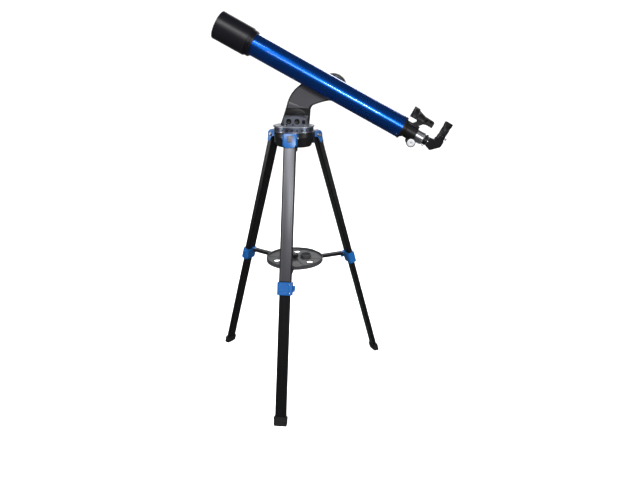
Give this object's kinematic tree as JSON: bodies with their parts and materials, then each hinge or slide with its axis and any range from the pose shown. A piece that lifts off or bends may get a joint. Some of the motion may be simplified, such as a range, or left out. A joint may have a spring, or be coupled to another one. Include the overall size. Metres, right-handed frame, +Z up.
{
  "type": "telescope on tripod",
  "caption": "Small refracting telescope on a single-arm motorised mount and a folding three-legged stand with an accessory tray.",
  "frame": {"origin": "on the ground under the azimuth axis, midway between the three feet", "axes": "+Z up along the azimuth axis; the tube lies in a plane parallel to XZ with its eye end towards +X; the front leg and the viewer's side of the tube are at -Y"},
  "size_m": [1.1386, 0.7558, 1.7309],
  "materials": {
    "tube_blue": "deep metallic blue gloss",
    "black_plastic": "fine satin black",
    "black_gloss": "gloss black",
    "grey_paint": "satin grey",
    "leg_grey": "anodised dark grey",
    "leg_black": "anodised black",
    "blue_plastic": "satin royal blue",
    "bright_aluminium": "satin",
    "chrome": "polished",
    "steel": "bright",
    "brass": "satin",
    "lens_glass": "clear coated",
    "mirror": "front coated",
    "rubber": "dull",
    "ring_metal": "satin blue grey"
  },
  "bodies": {
    "head": {"tripod_head": "black_plastic", "hinge_brackets": "blue_plastic", "hinge_pins": "steel", "azimuth_gear": "brass"},
    "mount_bolt": {"mount_bolt_knob": "black_plastic"},
    "mount": {"turntable": "ring_metal", "arm_front_shell": "grey_paint", "arm_rear_shell": "black_plastic", "control_panel": "black_plastic", "drive_motors": "steel"},
    "power_switch": {"power_switch": "black_gloss"},
    "altitude_axle": {"altitude_gear": "brass", "saddle": "bright_aluminium"},
    "saddle_knob_front": {"saddle_knob_front": "black_plastic"},
    "saddle_knob_rear": {"saddle_knob_rear": "black_plastic"},
    "tube": {"main_tube": "tube_blue", "objective_cell": "black_plastic", "objective_lenses": "lens_glass", "lens_retaining_ring": "black_plastic", "rear_cell": "black_plastic", "rear_cell_screws": "steel", "focuser_housing": "black_plastic", "dovetail_bar": "bright_aluminium", "finder_bracket": "black_plastic", "finder_body": "black_plastic", "finder_window": "lens_glass"},
    "dew_shield": {"dew_shield": "black_plastic"},
    "finder_dial": {"finder_dial": "black_plastic"},
    "drawtube": {"drawtube": "bright_aluminium", "eyepiece_adapter": "black_plastic"},
    "focus_shaft": {"focus_pinion": "steel", "focus_knobs": "black_plastic"},
    "adapter_thumbscrew_upper": {"adapter_thumbscrew_upper": "steel"},
    "adapter_thumbscrew_lower": {"adapter_thumbscrew_lower": "steel"},
    "diagonal": {"diagonal_nosepiece": "chrome", "diagonal_body": "black_plastic", "diagonal_mirror": "mirror"},
    "eyepiece": {"eyepiece_barrel": "chrome", "eyepiece_body": "black_plastic", "eyepiece_lens": "lens_glass"},
    "tray": {"tray": "black_plastic"},
    "tray_knob": {"tray_knob": "black_plastic"},
    "leg_front": {"upper_leg_front": "leg_grey", "leg_clamp_front": "blue_plastic"},
    "lever_front": {"clamp_lever_front": "blue_plastic"},
    "lower_leg_front": {"lower_leg_front": "leg_black", "foot_front": "rubber"},
    "strut_front": {"strut_front": "black_plastic"},
    "leg_left": {"upper_leg_left": "leg_grey", "leg_clamp_left": "blue_plastic"},
    "lever_left": {"clamp_lever_left": "blue_plastic"},
    "lower_leg_left": {"lower_leg_left": "leg_black", "foot_left": "rubber"},
    "strut_left": {"strut_left": "black_plastic"},
    "leg_right": {"upper_leg_right": "leg_grey", "leg_clamp_right": "blue_plastic"},
    "lever_right": {"clamp_lever_right": "blue_plastic"},
    "lower_leg_right": {"lower_leg_right": "leg_black", "foot_right": "rubber"},
    "strut_right": {"strut_right": "black_plastic"}
  },
  "joints": [
    {"name": "azimuth_turn", "type": "hinge", "parent": "head", "child": "mount", "pos_m": [0, 0, 1.22108], "axis": [0, 0, 1], "continuous": true},
    {"name": "mount_bolt_turn", "type": "hinge", "parent": "head", "child": "mount_bolt", "pos_m": [0, 0, 1.15508], "axis": [0, 0, 1], "continuous": true},
    {"name": "power_switch_press", "type": "slide", "parent": "mount", "child": "power_switch", "axis": [0, 1, 0], "range_m": [0, 0.002]},
    {"name": "altitude_tilt", "type": "hinge", "parent": "mount", "child": "altitude_axle", "pos_m": [0.176, -0.01, 1.41958], "axis": [0, 1, 0], "range_deg": [-32, 47]},
    {"name": "saddle_knob_front_turn", "type": "hinge", "parent": "altitude_axle", "child": "saddle_knob_front", "pos_m": [0.1716, -0.0245, 1.45841], "axis": [0.4664, 0, 0.8846], "continuous": true},
    {"name": "saddle_knob_rear_turn", "type": "hinge", "parent": "altitude_axle", "child": "saddle_knob_rear", "pos_m": [0.19814, -0.0245, 1.44442], "axis": [0.4664, 0, 0.8846], "continuous": true},
    {"name": "tube_balance_slide", "type": "slide", "parent": "altitude_axle", "child": "tube", "axis": [0.8846, 0, -0.4664], "range_m": [-0.04, 0.04]},
    {"name": "dew_shield_pull", "type": "slide", "parent": "tube", "child": "dew_shield", "axis": [-0.8846, 0, 0.4664], "range_m": [0, 0.14]},
    {"name": "finder_dial_turn", "type": "hinge", "parent": "tube", "child": "finder_dial", "pos_m": [0.59521, -0.0627, 1.27769], "axis": [0, -1, 0], "range_deg": [0, 270]},
    {"name": "focus_travel", "type": "slide", "parent": "tube", "child": "drawtube", "axis": [0.8846, 0, -0.4664], "range_m": [-0.032, 0.03]},
    {"name": "focus_shaft_turn", "type": "hinge", "parent": "tube", "child": "focus_shaft", "pos_m": [0.52496, -0.078, 1.19591], "axis": [0, 1, 0], "range_deg": [-400, 300]},
    {"name": "adapter_thumbscrew_upper_turn", "type": "hinge", "parent": "drawtube", "child": "adapter_thumbscrew_upper", "pos_m": [0.58777, -0.078, 1.20247], "axis": [0.4227, -0.4226, 0.8017], "continuous": true},
    {"name": "adapter_thumbscrew_lower_turn", "type": "hinge", "parent": "drawtube", "child": "adapter_thumbscrew_lower", "pos_m": [0.58822, -0.078, 1.20224], "axis": [-0.4383, -0.342, -0.8312], "continuous": true},
    {"name": "diagonal_turn", "type": "hinge", "parent": "drawtube", "child": "diagonal", "pos_m": [0.59087, -0.078, 1.20084], "axis": [0.8846, 0, -0.4664], "range_deg": [-90, 90]},
    {"name": "eyepiece_lift", "type": "slide", "parent": "diagonal", "child": "eyepiece", "axis": [0.4664, 0, 0.8846], "range_m": [0, 0.035]},
    {"name": "leg_fold_front", "type": "hinge", "parent": "head", "child": "leg_front", "pos_m": [0, -0.1143, 1.20308], "axis": [1, 0, 0], "range_deg": [0, 11]},
    {"name": "strut_fold_front", "type": "hinge", "parent": "leg_front", "child": "strut_front", "pos_m": [0, -0.26361, 0.59196], "axis": [1, 0, 0], "range_deg": [0, 42]},
    {"name": "clamp_lever_front_swing", "type": "hinge", "parent": "leg_front", "child": "lever_front", "pos_m": [0.039, -0.30573, 0.57144], "axis": [0, -0.2857, -0.9583], "range_deg": [0, 110]},
    {"name": "leg_extend_front", "type": "slide", "parent": "leg_front", "child": "lower_leg_front", "axis": [0, 0.2857, 0.9583], "range_m": [0, 0.48]},
    {"name": "leg_fold_left", "type": "hinge", "parent": "head", "child": "leg_left", "pos_m": [-0.09899, 0.05715, 1.20308], "axis": [-0.5, -0.866, 0], "range_deg": [0, 11]},
    {"name": "strut_fold_left", "type": "hinge", "parent": "leg_left", "child": "strut_left", "pos_m": [-0.22829, 0.13181, 0.59196], "axis": [-0.5, -0.866, 0], "range_deg": [0, 42]},
    {"name": "clamp_lever_left_swing", "type": "hinge", "parent": "leg_left", "child": "lever_left", "pos_m": [-0.28427, 0.11909, 0.57144], "axis": [-0.2474, 0.1428, -0.9583], "range_deg": [0, 110]},
    {"name": "leg_extend_left", "type": "slide", "parent": "leg_left", "child": "lower_leg_left", "axis": [0.2474, -0.1428, 0.9583], "range_m": [0, 0.48]},
    {"name": "leg_fold_right", "type": "hinge", "parent": "head", "child": "leg_right", "pos_m": [0.09899, 0.05715, 1.20308], "axis": [-0.5, 0.866, 0], "range_deg": [0, 11]},
    {"name": "strut_fold_right", "type": "hinge", "parent": "leg_right", "child": "strut_right", "pos_m": [0.22829, 0.13181, 0.59196], "axis": [-0.5, 0.866, 0], "range_deg": [0, 42]},
    {"name": "clamp_lever_right_swing", "type": "hinge", "parent": "leg_right", "child": "lever_right", "pos_m": [0.24527, 0.18664, 0.57144], "axis": [0.2474, 0.1428, -0.9583], "range_deg": [0, 110]},
    {"name": "leg_extend_right", "type": "slide", "parent": "leg_right", "child": "lower_leg_right", "axis": [-0.2474, -0.1428, 0.9583], "range_m": [0, 0.48]},
    {"name": "tray_lift", "type": "slide", "parent": "head", "child": "tray", "axis": [0, 0, 1], "range_m": [0, 0.165]},
    {"name": "tray_knob_turn", "type": "hinge", "parent": "tray", "child": "tray_knob", "pos_m": [0, 0, 0.60296], "axis": [0, 0, 1], "continuous": true}
  ],
  "couplings": [
    {"joint": "leg_fold_left", "follows": "leg_fold_front", "ratio": 1},
    {"joint": "leg_fold_right", "follows": "leg_fold_front", "ratio": 1},
    {"joint": "strut_fold_front", "follows": "leg_fold_front", "ratio": 3.73},
    {"joint": "strut_fold_left", "follows": "leg_fold_front", "ratio": 3.73},
    {"joint": "strut_fold_right", "follows": "leg_fold_front", "ratio": 3.73},
    {"joint": "tray_lift", "follows": "leg_fold_front", "m_per_rad": 0.8438},
    {"joint": "focus_shaft_turn", "follows": "focus_travel", "rad_per_m": 142.86}
  ]
}
